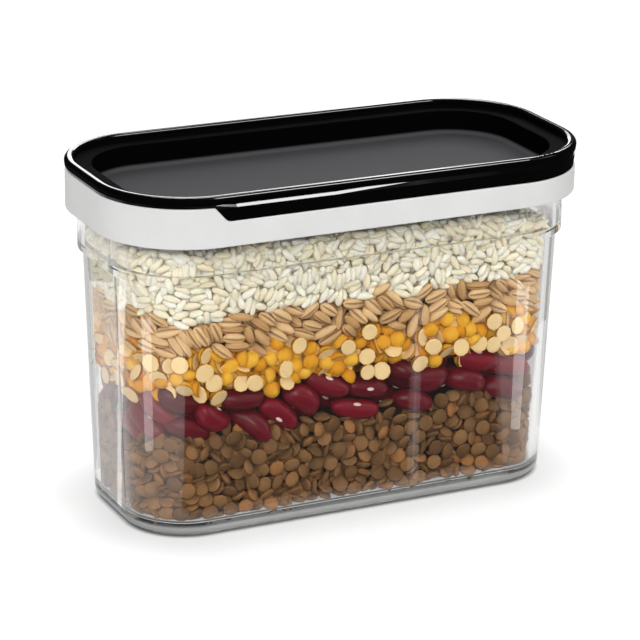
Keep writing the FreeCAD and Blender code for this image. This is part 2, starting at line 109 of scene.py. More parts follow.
# %% A small language for shaders
def linear(red, green, blue):
    """A colour given as 0 to 255 screen values, as the light values that shaders use."""
    values = [part / 255 for part in (red, green, blue)]
    return tuple(v / 12.92 if v <= 0.04045 else ((v + 0.055) / 1.055) ** 2.4 for v in values) + (1.0,)


class Shade:
    """A socket that Python can calculate with."""

    def __init__(self, recipe, socket):
        self.recipe = recipe
        self.socket = socket

    def math(self, operation, *values):
        return self.recipe.node("ShaderNodeMath", {"operation": operation}, dict(enumerate(values)))

    def __add__(self, other):
        return self.math("ADD", self, other)

    def __sub__(self, other):
        return self.math("SUBTRACT", self, other)

    def __rsub__(self, other):
        return self.math("SUBTRACT", other, self)

    def __mul__(self, other):
        return self.math("MULTIPLY", self, other)

    def __pow__(self, other):
        return self.math("POWER", self, other)

    def __gt__(self, other):
        return self.math("GREATER_THAN", self, other)

    def __abs__(self):
        return self.math("ABSOLUTE", self)

    def above(self, lowest):
        return self.math("MAXIMUM", self, lowest)

    __radd__ = __add__
    __rmul__ = __mul__


class Recipe:
    """A material, or the world, and the nodes that make its look."""

    def __init__(self, owner, output):
        self.owner = owner
        owner.use_nodes = True
        self.tree = owner.node_tree
        self.tree.nodes.clear()
        self.output = self.tree.nodes.new(output)

    def node(self, kind, settings=None, sockets=None, out=0):
        made = self.tree.nodes.new(kind)
        for name, setting in (settings or {}).items():
            if name == "stops":
                self.set_stops(made.color_ramp, setting)
            else:
                setattr(made, name, setting)
        for name, value in (sockets or {}).items():
            if isinstance(value, Shade):
                self.tree.links.new(value.socket, made.inputs[name])
            else:
                made.inputs[name].default_value = value
        return Shade(self, made.outputs[out])

    def set_stops(self, ramp, stops):
        while len(ramp.elements) < len(stops):
            ramp.elements.new(0.5)
        for element, (place, colour) in zip(ramp.elements, stops):
            element.position = place
            element.color = colour

    def place(self):
        """The point that is shaded, in the piece's own coordinates."""
        return self.node("ShaderNodeTexCoord", out="Object")

    def part(self, place, axis):
        return self.node("ShaderNodeSeparateXYZ", {}, {"Vector": place}, out=axis)

    def noise(self, place, scale, detail):
        return self.node("ShaderNodeTexNoise", {}, {"Vector": place, "Scale": scale, "Detail": detail})

    def bump(self, height, strength, distance):
        return self.node("ShaderNodeBump", {}, {
            "Height": height, "Strength": strength, "Distance": distance})

    def mix(self, share, first, second):
        """A colour between two others."""
        return self.node("ShaderNodeMix", {"data_type": "RGBA"}, {0: share, 6: first, 7: second}, out=2)

    def surface(self, sockets):
        return self.node("ShaderNodeBsdfPrincipled", {}, sockets)

    def show(self, shade):
        self.tree.links.new(shade.socket, self.output.inputs["Surface"])
        return self.owner

    def fill(self, shade):
        self.tree.links.new(shade.socket, self.output.inputs["Volume"])


def material_recipe(name):
    return Recipe(bpy.data.materials.new(name), "ShaderNodeOutputMaterial")


print("shader language ready")

# %% [markdown]
# A white studio lies round the box. The world is white for the camera, for mirrors and for clear plastic,
# and a little weaker in the light that it sheds, so the lamps still give the box a bright and a dark side.

# %% The world
AMBIENT = 0.8


def shown_directly(recipe):
    """1 for the rays that show the background itself, 0 for those that only gather light."""
    names = ("Is Camera Ray", "Is Glossy Ray", "Is Transmission Ray")
    camera_ray, mirror_ray, clear_ray = (recipe.node("ShaderNodeLightPath", out=name) for name in names)
    return (camera_ray + mirror_ray + clear_ray) > 0.5


def studio_world():
    recipe = Recipe(bpy.data.worlds.new("studio"), "ShaderNodeOutputWorld")
    level = AMBIENT + shown_directly(recipe) * (1 - AMBIENT)
    return recipe.show(recipe.node("ShaderNodeBackground", {}, {"Strength": level}))


bpy.context.scene.world = studio_world()
print("world lights at", AMBIENT)

# %% [markdown]
# The box stands on a pale table. It is lit like paper, and glows a little for the camera and for what
# mirrors and clear plastic show, so the background comes out white without more light on the box. The glow
# fades towards the foot of the box, and a narrow dark line runs under the rounded edge of the foot, where
# the table lies in shade. Painting that line is quicker and cleaner than waiting for light to find the gap.

# %% The table
TABLE_SIZE = 4.0
TABLE_COLOUR = linear(178, 178, 178)
TABLE_GLOW = 0.62
SHADE_REACH = 24 * MM
SHADED_GLOW = 0.7
CONTACT_INSIDE = -6.0 * MM
CONTACT_FULL = -4.5 * MM
CONTACT_FADE = -2.4 * MM
CONTACT_END = 0.8 * MM
CONTACT_DEPTH = 0.85
BLACK = (0, 0, 0, 1)
WHITE = (1, 1, 1, 1)
RING_CORNER = 32.7 * MM
FOOT_RADIUS = 23.2 * MM
_, ring_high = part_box("seal_ring")
CORNER_X = ring_high.x - RING_CORNER
CORNER_Y = ring_high.y - RING_CORNER


def mesh_from(name, shape):
    """Turns a bmesh into a mesh."""
    mesh = bpy.data.meshes.new(name)
    shape.to_mesh(mesh)
    shape.free()
    return mesh


def link_piece(name, shape, *finishes):
    """Makes an object of a bmesh."""
    mesh = mesh_from(name, shape)
    for finish in finishes:
        mesh.materials.append(finish)
    made = bpy.data.objects.new(name, mesh)
    bpy.context.scene.collection.objects.link(made)
    return made


def from_corner(recipe, place):
    """Distance from the centres of the box's corner arcs: the same all along a rounded rectangle."""
    past_x = (abs(recipe.part(place, "X")) - CORNER_X).above(0)
    past_y = (abs(recipe.part(place, "Y")) - CORNER_Y).above(0)
    return (past_x * past_x + past_y * past_y) ** 0.5


def rising(recipe, value, start, stop):
    """0 below a start, 1 above a stop, and smooth between them."""
    return recipe.node("ShaderNodeMapRange", {"interpolation_type": "SMOOTHSTEP"}, {
        "Value": value, "From Min": start, "From Max": stop})


def band(recipe, value, start, full, fade, stop):
    """1 between full and fade, and 0 before the start and after the stop."""
    return rising(recipe, value, start, full) * (1 - rising(recipe, value, fade, stop))


def table_finish():
    recipe = material_recipe("pale_table")
    place = recipe.place()
    away = from_corner(recipe, place) - FOOT_RADIUS
    lit = SHADED_GLOW + rising(recipe, away, 0.0, SHADE_REACH) * (1 - SHADED_GLOW)
    contact = band(recipe, away, CONTACT_INSIDE, CONTACT_FULL, CONTACT_FADE, CONTACT_END)
    open_table = 1 - contact * CONTACT_DEPTH
    glow = recipe.mix(shown_directly(recipe) * lit * open_table * TABLE_GLOW, BLACK, WHITE)
    return recipe.show(recipe.surface({
        "Base Color": recipe.mix(open_table, BLACK, TABLE_COLOUR), "Roughness": 0.9,
        "Specular IOR Level": 0.0, "Emission Color": glow, "Emission Strength": 1.0}))


shape = bmesh.new()
bmesh.ops.create_grid(shape, x_segments=1, y_segments=1, size=TABLE_SIZE / 2)
link_piece("table", shape, table_finish())
print("table side in m:", TABLE_SIZE)

# %% [markdown]
# Three soft boxes give the light: a key from the left, low enough to reach the rice under the ring, a
# weaker fill from the right, and one high behind the box, which lights the tray and stays out of mirrors.

# %% Soft boxes
def soft_box(name, place, width, height, power):
    """A lamp with a broad face that looks at the middle of the box."""
    lamp = bpy.data.lights.new(name, "AREA")
    lamp.shape = "RECTANGLE"
    lamp.size = width
    lamp.size_y = height
    lamp.energy = power
    box = bpy.data.objects.new(name, lamp)
    box.location = place
    box.rotation_mode = "QUATERNION"
    box.rotation_quaternion = (Vector((0, 0, cad_high.z / 2)) - Vector(place)).to_track_quat("-Z", "Y")
    bpy.context.scene.collection.objects.link(box)
    return box


key_light = soft_box("key_light", (-0.6, -1.0, 0.68), width=0.9, height=0.7, power=8.4)
fill_light = soft_box("fill_light", (1.0, -0.5, 0.6), width=0.6, height=0.8, power=3.2)
back_light = soft_box("back_light", (0.1, 0.9, 0.9), width=1.2, height=0.5, power=5)
back_light.visible_glossy = False
for lamp in (key_light, fill_light, back_light):
    print(lamp.name, "in W:", round(lamp.data.energy, 2))

# %% [markdown]
# Polished black and clear plastic show whatever stands round them. A photographer hangs black flags there,
# so that black stays black. As real cloth would also take light away, these flags are made to show in
# mirrors only: the camera doesn't see them, they cast no shadow, and they light nothing.

# %% Flags
def card_finish(name, glow):
    recipe = material_recipe(name)
    return recipe.show(recipe.node("ShaderNodeEmission", {}, {"Strength": glow}))


def card(name, corners, finish, through_plastic=False):
    """A flat card for mirrors, and for what the clear wall shows if it may be seen through plastic."""
    shape = bmesh.new()
    shape.faces.new([shape.verts.new(corner) for corner in corners])
    made = link_piece(name, shape, finish)
    made.visible_camera = False
    made.visible_diffuse = False
    made.visible_transmission = through_plastic
    made.visible_shadow = False
    return made


def rectangle(first, last):
    """Corners of a level or an upright rectangle, from two of them that lie opposite."""
    (x, y, z), (last_x, last_y, last_z) = first, last
    if z == last_z:
        return [(x, y, z), (last_x, y, z), (last_x, last_y, z), (x, last_y, z)]
    return [(x, y, z), (last_x, last_y, z), (last_x, last_y, last_z), (x, y, last_z)]


FLAG_CORNERS = {
    "back_flag": ((-1.4, 1.1, 0.03), (2.0, 1.1, 1.9)),
    "top_flag": ((-1.4, -1.4, 1.8), (1.4, 1.2, 1.8)),
    "right_flag": ((1.3, -1.4, 0.1), (1.3, 1.2, 1.8)),
    "left_flag": ((-1.3, -1.4, 0.1), (-1.3, 1.2, 1.8)),
    "near_flag": ((-1.4, -1.5, 0.1), (1.4, -1.5, 1.8)),
}
black_cloth = card_finish("black_cloth", 0.004)
for name, corners in FLAG_CORNERS.items():
    card(name, rectangle(*corners), black_cloth)
print("flags:", list(FLAG_CORNERS))

# %% [markdown]
# Seen from above, the front wall mirrors the table before it. White there would lie as a veil over the
# food, so two dark cloths cover it, with a bright slit between them for the upright streak that tells a
# glossy wall. The inside of the wall mirrors them as well. Such light leaves the plastic like light that
# has passed through it, so these cards are also shown through plastic.

# %% Cloths before the front wall
CARD_LEVEL = 0.5 * MM
CLOTH_NEAR = -50 * MM
CLOTH_FAR = -450 * MM
CLOTH_LEFT = -79 * MM
CLOTH_LEFT_FAR = -214 * MM
CLOTH_RIGHT = 67 * MM
SLIT_START = 28.4 * MM
SLIT_END = SLIT_START + 2.8 * MM
SLIT_LEAN = math.tan(math.radians(27.9)) * (CLOTH_NEAR - CLOTH_FAR)


def front_strip(left, right, far_left, far_right):
    """Corners of a cloth on the table before the box, from its near and its far edge."""
    return [(left, CLOTH_NEAR, CARD_LEVEL), (right, CLOTH_NEAR, CARD_LEVEL),
            (far_right, CLOTH_FAR, CARD_LEVEL), (far_left, CLOTH_FAR, CARD_LEVEL)]


grey_cloth = card_finish("grey_cloth", 0.12)
front_corners = front_strip(CLOTH_LEFT, SLIT_START, CLOTH_LEFT_FAR, SLIT_START + SLIT_LEAN)
side_corners = front_strip(SLIT_END, CLOTH_RIGHT, SLIT_END + SLIT_LEAN, CLOTH_RIGHT + SLIT_LEAN)
slit_corners = front_strip(SLIT_START, SLIT_END, SLIT_START + SLIT_LEAN, SLIT_END + SLIT_LEAN)
cloths = [
    card("front_cloth", front_corners, grey_cloth, through_plastic=True),
    card("side_cloth", side_corners, grey_cloth, through_plastic=True),
    card("slit", slit_corners, card_finish("slit_card", 1.3), through_plastic=True),
]
print("cloths before the wall:", [cloth.name for cloth in cloths])

# %% [markdown]
# The lid's polished edges catch the light as thin bright lines, along the finger ledge in front and round
# the crown of the rim. Four bright cards do that: one overhead for the ledge, and three behind and above
# the box for the rim. A card shows as a line because each edge is a narrow, strongly curved mirror.

# %% Cards for the lid
LID_CARD_CORNERS = {
    "overhead": ((0.33, -0.9, 1.23), (0.77, -0.44, 1.23)),
    "behind": ((0.2, 1.09, 0.16), (0.64, 1.09, 0.65)),
    "higher": ((0.6, 1.09, 0.65), (1.0, 1.09, 1.35)),
    "above": ((0.1, 0.45, 1.3), (0.5, 1.05, 1.3)),
}
crown_card = card_finish("crown_card", 10.0)
lid_finishes = {"overhead": card_finish("ledge_card", 20.0), "behind": card_finish("rim_card", 4.2),
                "higher": crown_card, "above": crown_card}
for name, corners in LID_CARD_CORNERS.items():
    card(name, rectangle(*corners), lid_finishes[name])
print("cards for the lid:", list(LID_CARD_CORNERS))

# %% [markdown]
# The two ends of the clear wall are where its gloss shows most: a pale haze and an upright line on the left
# end, and a streak on each rounded corner in front. Each is a card on the table. Most are plain strips and
# wedges. For the upright line the law of mirrors gives the card: pick a place on the wall, follow the line
# of sight there, and see where its mirrored course meets the table. Two pale grey cards behind the ends
# show through the plastic, and darken the rims of the clear outline.

# %% Cards for the ends
HAZE_LEVEL = 0.4 * MM
SHADE_LEVEL = 0.35 * MM
HAZE_LEAN = 0.49
HAZE_NEAR = 8 * MM
HAZE_RUN = 250 * MM
END_DRAFT = 0.0395
STREAK_LEAN = 0.118
STREAK_HEIGHTS = [height * MM for height in range(5, 100, 10)]
STREAK_FAR = 200 * MM
SHADE_NEAR = 20 * MM
SHADE_FAR = 330 * MM


def floor_wedge(start, azimuth, spread, near, far, level=CARD_LEVEL):
    """Corners of a card on the table that widens away from a point at the foot of the wall."""
    corners = []
    for turn, reach in ((-1, near), (-1, far), (1, far), (1, near)):
        angle = math.radians(azimuth + turn * spread)
        corners.append((start[0] + reach * math.sin(angle), start[1] - reach * math.cos(angle), level))
    return corners


def end_strip(first, last):
    """Corners of a strip on the table that the left end shows between two places along the end."""
    lean = HAZE_LEAN * HAZE_RUN
    start = -CORNER_X - FOOT_RADIUS - HAZE_LEAN * HAZE_NEAR
    return [(start, first + HAZE_NEAR, HAZE_LEVEL), (start, last + HAZE_NEAR, HAZE_LEVEL),
            (start - lean, last + HAZE_NEAR + HAZE_RUN, HAZE_LEVEL),
            (start - lean, first + HAZE_NEAR + HAZE_RUN, HAZE_LEVEL)]


def table_seen_in(along, height):
    """The place on the table that the left end mirrors to the camera, at a place on its wall."""
    radius = FOOT_RADIUS + END_DRAFT * height
    flat = min(max(along, -CORNER_Y), CORNER_Y)
    turn = math.asin((along - flat) / radius)
    outwards = Vector((-math.cos(turn), math.sin(turn), -END_DRAFT)).normalized()
    point = Vector((-CORNER_X - radius * math.cos(turn), along, height))
    sight = (point - camera_place).normalized()
    mirrored = sight - 2 * sight.dot(outwards) * outwards
    seen = point - mirrored * (height / mirrored.z)
    return seen.x, seen.y, CARD_LEVEL


def upright_streak(first, last):
    """Corners of a card that shows as an upright streak on the left end, from the foot to the step."""
    left = [table_seen_in(first - STREAK_LEAN * height, height) for height in STREAK_HEIGHTS]
    right = [table_seen_in(last - STREAK_LEAN * height, height) for height in STREAK_HEIGHTS]
    return left + right[::-1]


pale_cloth = card_finish("pale_cloth", 0.66)
bright_card = card_finish("bright_card", 5.0)
left_shade = floor_wedge((-86 * MM, 20 * MM), 178, 16, SHADE_NEAR, SHADE_FAR, SHADE_LEVEL)
right_shade = floor_wedge((86 * MM, 0), 129, 16, SHADE_NEAR, SHADE_FAR, SHADE_LEVEL)
left_corner = floor_wedge((-76 * MM, -26 * MM), -84, 9, 71 * MM, STREAK_FAR)
right_corner = floor_wedge((64 * MM, -35 * MM), 47, 11, 47 * MM, STREAK_FAR)
end_cards = [
    card("left_haze", end_strip(-32 * MM, 34 * MM), card_finish("haze_card", 1.35)),
    card("left_line", upright_streak(-9.5 * MM, -5.5 * MM), card_finish("line_card", 3.0)),
    card("left_shade", left_shade, pale_cloth, through_plastic=True),
    card("right_shade", right_shade, pale_cloth, through_plastic=True),
    card("left_streak", left_corner, bright_card),
    card("right_streak", right_corner, bright_card),
]
print("cards for the ends:", [made.name for made in end_cards])

# %% [markdown]
# Further out, black cloth lies round the box on the table, in wedges, so that the glossy pieces mirror
# black there and not the white table. On the left and behind it is a narrow ring with white table beyond,
# and in front and on the right it is wide. Each line below gives the directions of its wedges, in degrees
# from the front, and how far they reach, in metres.

# %% Cloth round the box
CLOTH_LEVEL = 0.3 * MM
WEDGE_SPREAD = 15.5
WEDGES = [
    (range(-165, -110, 30), 0.29, 0.345),
    (range(-105, -40, 30), 0.235, 0.345),
    (range(-15, 120, 30), 0.235, 1.0),
]
wedges = []
for azimuths, near, far in WEDGES:
    for azimuth in azimuths:
        corners = floor_wedge((0, 0), azimuth, WEDGE_SPREAD, near, far, CLOTH_LEVEL)
        wedges.append(card(f"cloth_{azimuth}", corners, black_cloth))
print("wedges of cloth:", len(wedges))

# %% [markdown]
# The hard pieces keep their CAD shapes and get a finish. The tub is clear plastic: real refraction, with a
# little absorption, which is why long ways through it, at the base and along the ends, look grey. The foot
# is faintly frosted from standing on shelves. Shadow rays pass straight through, because a path tracer can
# hardly find a lamp through refraction, and so do rays that have bounced about in a corner too often.

# %% Clear plastic
PLASTIC_TINT = (0.95, 0.948, 0.942, 1)
PLASTIC_DEPTH_TINT = (0.43, 0.44, 0.42, 1)
PLASTIC_DENSITY = 38.0
FOOT_FROST = 0.45
FROST_START = 0.4 * MM
FROST_FULL = 1.8 * MM
FROST_FADE = 3.4 * MM
FROST_END = 4.8 * MM
FROST_DEPTH = 1.6 * MM
FROST_COLOUR = (0.8, 0.8, 0.79, 1)
MOST_BOUNCES = 4


def clear_plastic():
    recipe = material_recipe("clear_plastic")
    place = recipe.place()
    haze = recipe.noise(place, scale=90.0, detail=3.0)
    flow = recipe.noise(place, scale=18.0, detail=1.0)
    bump = recipe.bump(flow, strength=0.02, distance=1.0 * MM)
    height = recipe.part(place, "Z")
    foot = band(recipe, height, FROST_START, FROST_FULL, FROST_FADE, FROST_END)
    frosted = foot * (from_corner(recipe, place) > FOOT_RADIUS - FROST_DEPTH)
    polished = recipe.surface({
        "Base Color": PLASTIC_TINT, "Roughness": 0.015 + haze * 0.04,
        "IOR": 1.49, "Transmission Weight": 1.0, "Normal": bump})
    frost = recipe.node("ShaderNodeBsdfDiffuse", {}, {"Color": FROST_COLOUR})
    plastic = recipe.node("ShaderNodeMixShader", {}, {0: frosted * FOOT_FROST, 1: polished, 2: frost})
    open_way = recipe.node("ShaderNodeBsdfTransparent")
    shadow_ray = recipe.node("ShaderNodeLightPath", out="Is Shadow Ray")
    trapped = recipe.node("ShaderNodeLightPath", out="Ray Depth") > MOST_BOUNCES
    recipe.fill(recipe.node("ShaderNodeVolumeAbsorption", {}, {
        "Color": PLASTIC_DEPTH_TINT, "Density": PLASTIC_DENSITY}))
    return recipe.show(recipe.node("ShaderNodeMixShader", {}, {
        0: shadow_ray + trapped, 1: plastic, 2: open_way}))


def dress(node, material):
    """Gives a CAD node its finish, in every slot it has."""
    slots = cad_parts[node].data.materials
    slots.clear()
    slots.append(material)


dress("container_body", clear_plastic())
print("tub dressed")

# %% [markdown]
# The ring is matt silicone, almost white. One flat colour would look painted, and a picture of silicone
# would have to be fitted round the corners. Noise in the ring's own coordinates needs no fitting: a faint
# mottle in colour and gloss, and a grain so fine that it only softens the highlights.

# %% Pale silicone
def pale_silicone():
    recipe = material_recipe("pale_silicone")
    place = recipe.place()
    mottle = recipe.noise(place, scale=60.0, detail=4.0)
    grain = recipe.noise(place, scale=2500.0, detail=2.0)
    colour = recipe.node("ShaderNodeValToRGB", {"stops": [
        (0.3, linear(222, 222, 221)), (0.7, linear(229, 229, 228))]}, {"Fac": mottle})
    bump = recipe.bump(grain, strength=0.08, distance=0.2 * MM)
    return recipe.show(recipe.surface({
        "Base Color": colour, "Roughness": 0.5 + mottle * 0.15, "Normal": bump}))


dress("seal_ring", pale_silicone())
print("ring dressed")

# %% [markdown]
# The lid is black plastic in three finishes from one mould: a fine satin texture on the tray floor, a dull
# black on walls and band, and a polish on the crown of the rim and the finger ledge, which are touched
# most. The polish is a clear coat. The tray floor is also coloured grey: a painted sheen, standing in for
# the light that its satin texture catches. Height, and the distance from the corner arcs, say which finish
# a point gets, so the lid needs one material and no cuts in its mesh.

# %% Black plastic
DULL_BLACK = linear(3, 3, 3)
# Grey for the tray floor: a painted sheen on black plastic.
SATIN_SHEEN_GREY = linear(75, 75, 77)
_, lid_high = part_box("lid_tray")
TRAY_DEPTH = 11.5 * MM
SATIN_TOP = lid_high.z - TRAY_DEPTH + 1.2 * MM
SATIN_BLEND = 0.6 * MM
CROWN_FOOT = lid_high.z - 0.6 * MM
LEDGE_FOOT = lid_high.z - 4.45 * MM
LEDGE_TOP = lid_high.z - 2.95 * MM
LEDGE_RADIUS = 31.2 * MM
POLISH_BLEND = 0.1 * MM


def black_plastic():
    recipe = material_recipe("black_plastic")
    place = recipe.place()
    height = recipe.part(place, "Z")
    satin_and_sheen = 1 - rising(recipe, height, SATIN_TOP - SATIN_BLEND, SATIN_TOP + SATIN_BLEND)
    crown = rising(recipe, height, CROWN_FOOT - POLISH_BLEND, CROWN_FOOT + POLISH_BLEND)
    ledge = band(recipe, height, LEDGE_FOOT - POLISH_BLEND, LEDGE_FOOT,
                 LEDGE_TOP - POLISH_BLEND, LEDGE_TOP + POLISH_BLEND)
    outside = from_corner(recipe, place) > LEDGE_RADIUS
    grain = recipe.noise(place, scale=1500.0, detail=3.0)
    bump = recipe.bump(grain * satin_and_sheen, strength=0.25, distance=0.3 * MM)
    # The grey of the tray floor is a painted sheen; its bump and roughness are the real satin texture.
    return recipe.show(recipe.surface({
        "Base Color": recipe.mix(satin_and_sheen, DULL_BLACK, SATIN_SHEEN_GREY), "Roughness": 0.8 - satin_and_sheen * 0.2,
        "Normal": bump, "Specular IOR Level": 0.02,
        "Coat Weight": crown + ledge * outside, "Coat Roughness": 0.1}))


dress("lid_tray", black_plastic())
print("lid dressed")

# %% [markdown]
# Now the food. Every grain carries two numbers on its points: a tone of its own, from dark to light, and a
# mark, which is 1 on what a grain shows once, such as a crease or a flat face. The finishes read both, so
# thousands of grains share one material and still differ. Rice is long and slightly bowed, wheat is plumper
# with a crease along one side. Both are stretched spheres of a few dozen faces, bent point by point.

# %% Rice and wheat
GRAIN_HALF_SIZES = {
    "rice": (3.25 * MM, 1.45 * MM, 1.3 * MM),
    "wheat": (4.5 * MM, 2.05 * MM, 1.85 * MM),
    "split_pea": (3.25 * MM, 3.25 * MM, 1.65 * MM),
    "kidney_bean": (8.6 * MM, 4.6 * MM, 4.2 * MM),
    "lentil": (3.05 * MM, 3.05 * MM, 1.25 * MM),
}
RICE_BOW = 0.12
RICE_TAPER = 0.1
RICE_GIRTH = 1.06
WHEAT_TAPER = 0.12
WHEAT_GIRTH = 1.04
CREASE_DEPTH = 0.7
CREASE_LENGTH = 0.98
CREASE_WIDTH = 0.02


def grain_mesh(name, shape):
    """Turns a bmesh into a smooth mesh that holds a tone and a mark for each point."""
    for face in shape.faces:
        face.smooth = True
    mesh = mesh_from(name, shape)
    mesh.attributes.new("tone", "FLOAT", "POINT")
    return mesh


def ellipsoid(segments, rings, half_sizes):
    """A stretched sphere with its long axis, where the poles are, along X, and a layer for marks."""
    shape = bmesh.new()
    marks = shape.verts.layers.float.new("mark")
    bmesh.ops.create_uvsphere(shape, u_segments=segments, v_segments=rings, radius=1)
    bmesh.ops.rotate(shape, verts=shape.verts, matrix=Matrix.Rotation(math.pi / 2, 3, "Y"))
    bmesh.ops.scale(shape, verts=shape.verts, vec=half_sizes)
    return shape, marks


def rice_grain(half_sizes):
    shape, _ = ellipsoid(7, 6, half_sizes)
    for point in shape.verts:
        along = point.co.x / half_sizes[0]
        point.co.z += RICE_BOW * half_sizes[2] * (1 - along * along)
        point.co.yz = Vector(point.co.yz) * (RICE_GIRTH - RICE_TAPER * along)
    return grain_mesh("rice_grain", shape)


def wheat_grain(half_sizes):
    shape, marks = ellipsoid(8, 7, half_sizes)
    for point in shape.verts:
        along = point.co.x / half_sizes[0]
        point.co.yz = Vector(point.co.yz) * (WHEAT_GIRTH - WHEAT_TAPER * along)
        in_crease = point.co.z > 0 and abs(point.co.y) < CREASE_WIDTH * half_sizes[1]
        if in_crease and abs(along) < CREASE_LENGTH:
            # The mark later paints the crease dark: painted shade in the groove.
            point[marks] = 1
            point.co.z *= CREASE_DEPTH
    return grain_mesh("wheat_grain", shape)


grain_shapes = {}
grain_shapes["rice"] = rice_grain(GRAIN_HALF_SIZES["rice"])
grain_shapes["wheat"] = wheat_grain(GRAIN_HALF_SIZES["wheat"])
print("faces per grain:", {food: len(mesh.polygons) for food, mesh in grain_shapes.items()})

# %% [markdown]
# A split pea is half a ball: a sphere cut by a plane, closed, with its sharp rim bevelled and the flat side
# slightly hollow. A lentil is a lens. A sphere pressed flat would have a blunt edge, so its thickness is
# also drawn in towards the rim. The rim is marked, and its finish paints it darker: painted shade that
# parts each lentil from its neighbours.

# %% Split peas and lentils
PEA_CUT = -0.02
PEA_RIM = 0.07
PEA_FLAT_EDGE = 0.3
PEA_HOLLOW = 0.05
CUT_TOLERANCE = 1e-6
LENTIL_THINNING = 0.35
LENTIL_SHADED_RIM = 0.95


def split_pea(half_sizes):
    across, _, thick = half_sizes
    shape = bmesh.new()
    marks = shape.verts.layers.float.new("mark")
    bmesh.ops.create_uvsphere(shape, u_segments=10, v_segments=8, radius=across)
    everything = shape.verts[:] + shape.edges[:] + shape.faces[:]
    cut = bmesh.ops.bisect_plane(shape, geom=everything, dist=CUT_TOLERANCE, clear_outer=True,
                                 plane_co=(0, 0, PEA_CUT * across), plane_no=(0, 0, -1))
    rim = [edge for edge in cut["geom_cut"] if isinstance(edge, bmesh.types.BMEdge)]
    bmesh.ops.contextual_create(shape, geom=rim)
    bmesh.ops.scale(shape, verts=shape.verts, vec=(1, 1, 2 * thick / across))
    bmesh.ops.bevel(shape, geom=rim, offset=PEA_RIM * across, affect="EDGES", segments=1, profile=0.5,
                    material=-1)
    flat = max(shape.faces, key=lambda face: face.calc_area())
    inner = bmesh.ops.inset_individual(shape, faces=[flat], thickness=PEA_FLAT_EDGE * across)
    bmesh.ops.translate(shape, verts=flat.verts, vec=(0, 0, PEA_HOLLOW * across))
    for face in inner["faces"] + [flat]:
        for point in face.verts:
            point[marks] = 1
    bmesh.ops.translate(shape, verts=shape.verts, vec=(0, 0, -thick))
    return grain_mesh("split_pea", shape)


def lentil(half_sizes):
    across, _, thick = half_sizes
    shape = bmesh.new()
    marks = shape.verts.layers.float.new("mark")
    bmesh.ops.create_uvsphere(shape, u_segments=9, v_segments=6, radius=1)
    for point in shape.verts:
        from_axis = math.hypot(point.co.x, point.co.y)
        point.co.z *= 1 - LENTIL_THINNING * from_axis
        # Points at the rim are marked for a darker colour: painted shade.
        if from_axis > LENTIL_SHADED_RIM:
            point[marks] = 1
    bmesh.ops.scale(shape, verts=shape.verts, vec=(across, across, thick))
    return grain_mesh("lentil", shape)


grain_shapes["split_pea"] = split_pea(GRAIN_HALF_SIZES["split_pea"])
grain_shapes["lentil"] = lentil(GRAIN_HALF_SIZES["lentil"])
print("faces per grain:", {food: len(grain_shapes[food].polygons) for food in ("split_pea", "lentil")})

# %% [markdown]
# A kidney bean is a fuller stretched sphere, bent like a bow, with a small pale scar in the bend where it
# grew on the pod. The scar is a little pad of its own, half sunk in the bean, because a spot of colour on
# so few points would have no clean edge. Beans are large, so they have more faces than the rest.

# %% Kidney beans
BEAN_BEND = 0.3
BEAN_FULLNESS = 0.45
BEAN_INNER_SIDE = 0.88
BEAN_BALANCE = 0.4
SCAR_HALF_SIZES = (1.5 * MM, 0.35 * MM, 0.7 * MM)


def kidney_bean(half_sizes):
    shape, marks = ellipsoid(12, 9, half_sizes)
    bend = BEAN_BEND * half_sizes[1]
    for point in shape.verts:
        along = point.co.x / half_sizes[0]
        fuller = (1 + BEAN_FULLNESS * along * along) ** 0.5
        point.co.yz = Vector(point.co.yz) * fuller
        if point.co.y < 0:
            point.co.y *= BEAN_INNER_SIDE
        point.co.y -= bend * (along * along - BEAN_BALANCE)
    scar_place = (0, -BEAN_INNER_SIDE * half_sizes[1] + BEAN_BALANCE * bend, 0)
    scar = bmesh.ops.create_uvsphere(shape, u_segments=8, v_segments=5, radius=1)["verts"]
    bmesh.ops.scale(shape, verts=scar, vec=SCAR_HALF_SIZES)
    bmesh.ops.translate(shape, verts=scar, vec=scar_place)
    for point in scar:
        point[marks] = 1
    return grain_mesh("kidney_bean", shape)


grain_shapes["kidney_bean"] = kidney_bean(GRAIN_HALF_SIZES["kidney_bean"])
print("faces per bean:", len(grain_shapes["kidney_bean"].polygons))

# %% [markdown]
# Packing starts from the wall that the grains lean on. Seen from above it is a rounded rectangle; the
# slabs give its size at each height. A place on it is a distance round the box and a height.

# %% The wall round the food
FLOOR_ROUND = 3.0 * MM
STEP_LEVEL = 97.9 * MM
STEP_RUN = 3.0 * MM
MEAN_RADIUS = 23.0 * MM
QUARTER = MEAN_RADIUS * math.pi / 2
ROUND_THE_BOX = 4 * (CORNER_X + CORNER_Y + QUARTER)
lentil_low, lentil_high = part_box("lentil_layer")
_, wheat_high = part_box("wheat_layer")
_, rice_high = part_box("rice_layer")
WALL_LEAN = (wheat_high.x - lentil_high.x) / (wheat_high.z - lentil_high.z)


def food_radius(height):
    """Corner radius of the space that food fills, which grows as the wall leans out."""
    neck_radius = rice_high.x - CORNER_X
    radius = lentil_high.x - CORNER_X + WALL_LEAN * (min(height, STEP_LEVEL) - lentil_high.z)
    past_step = min(max((height - STEP_LEVEL) / STEP_RUN, 0), 1)
    radius += past_step * (neck_radius - radius)
    below_round = lentil_low.z + FLOOR_ROUND - height
    if below_round > 0:
        radius -= FLOOR_ROUND - math.sqrt(max(FLOOR_ROUND ** 2 - below_round ** 2, 0))
    return radius


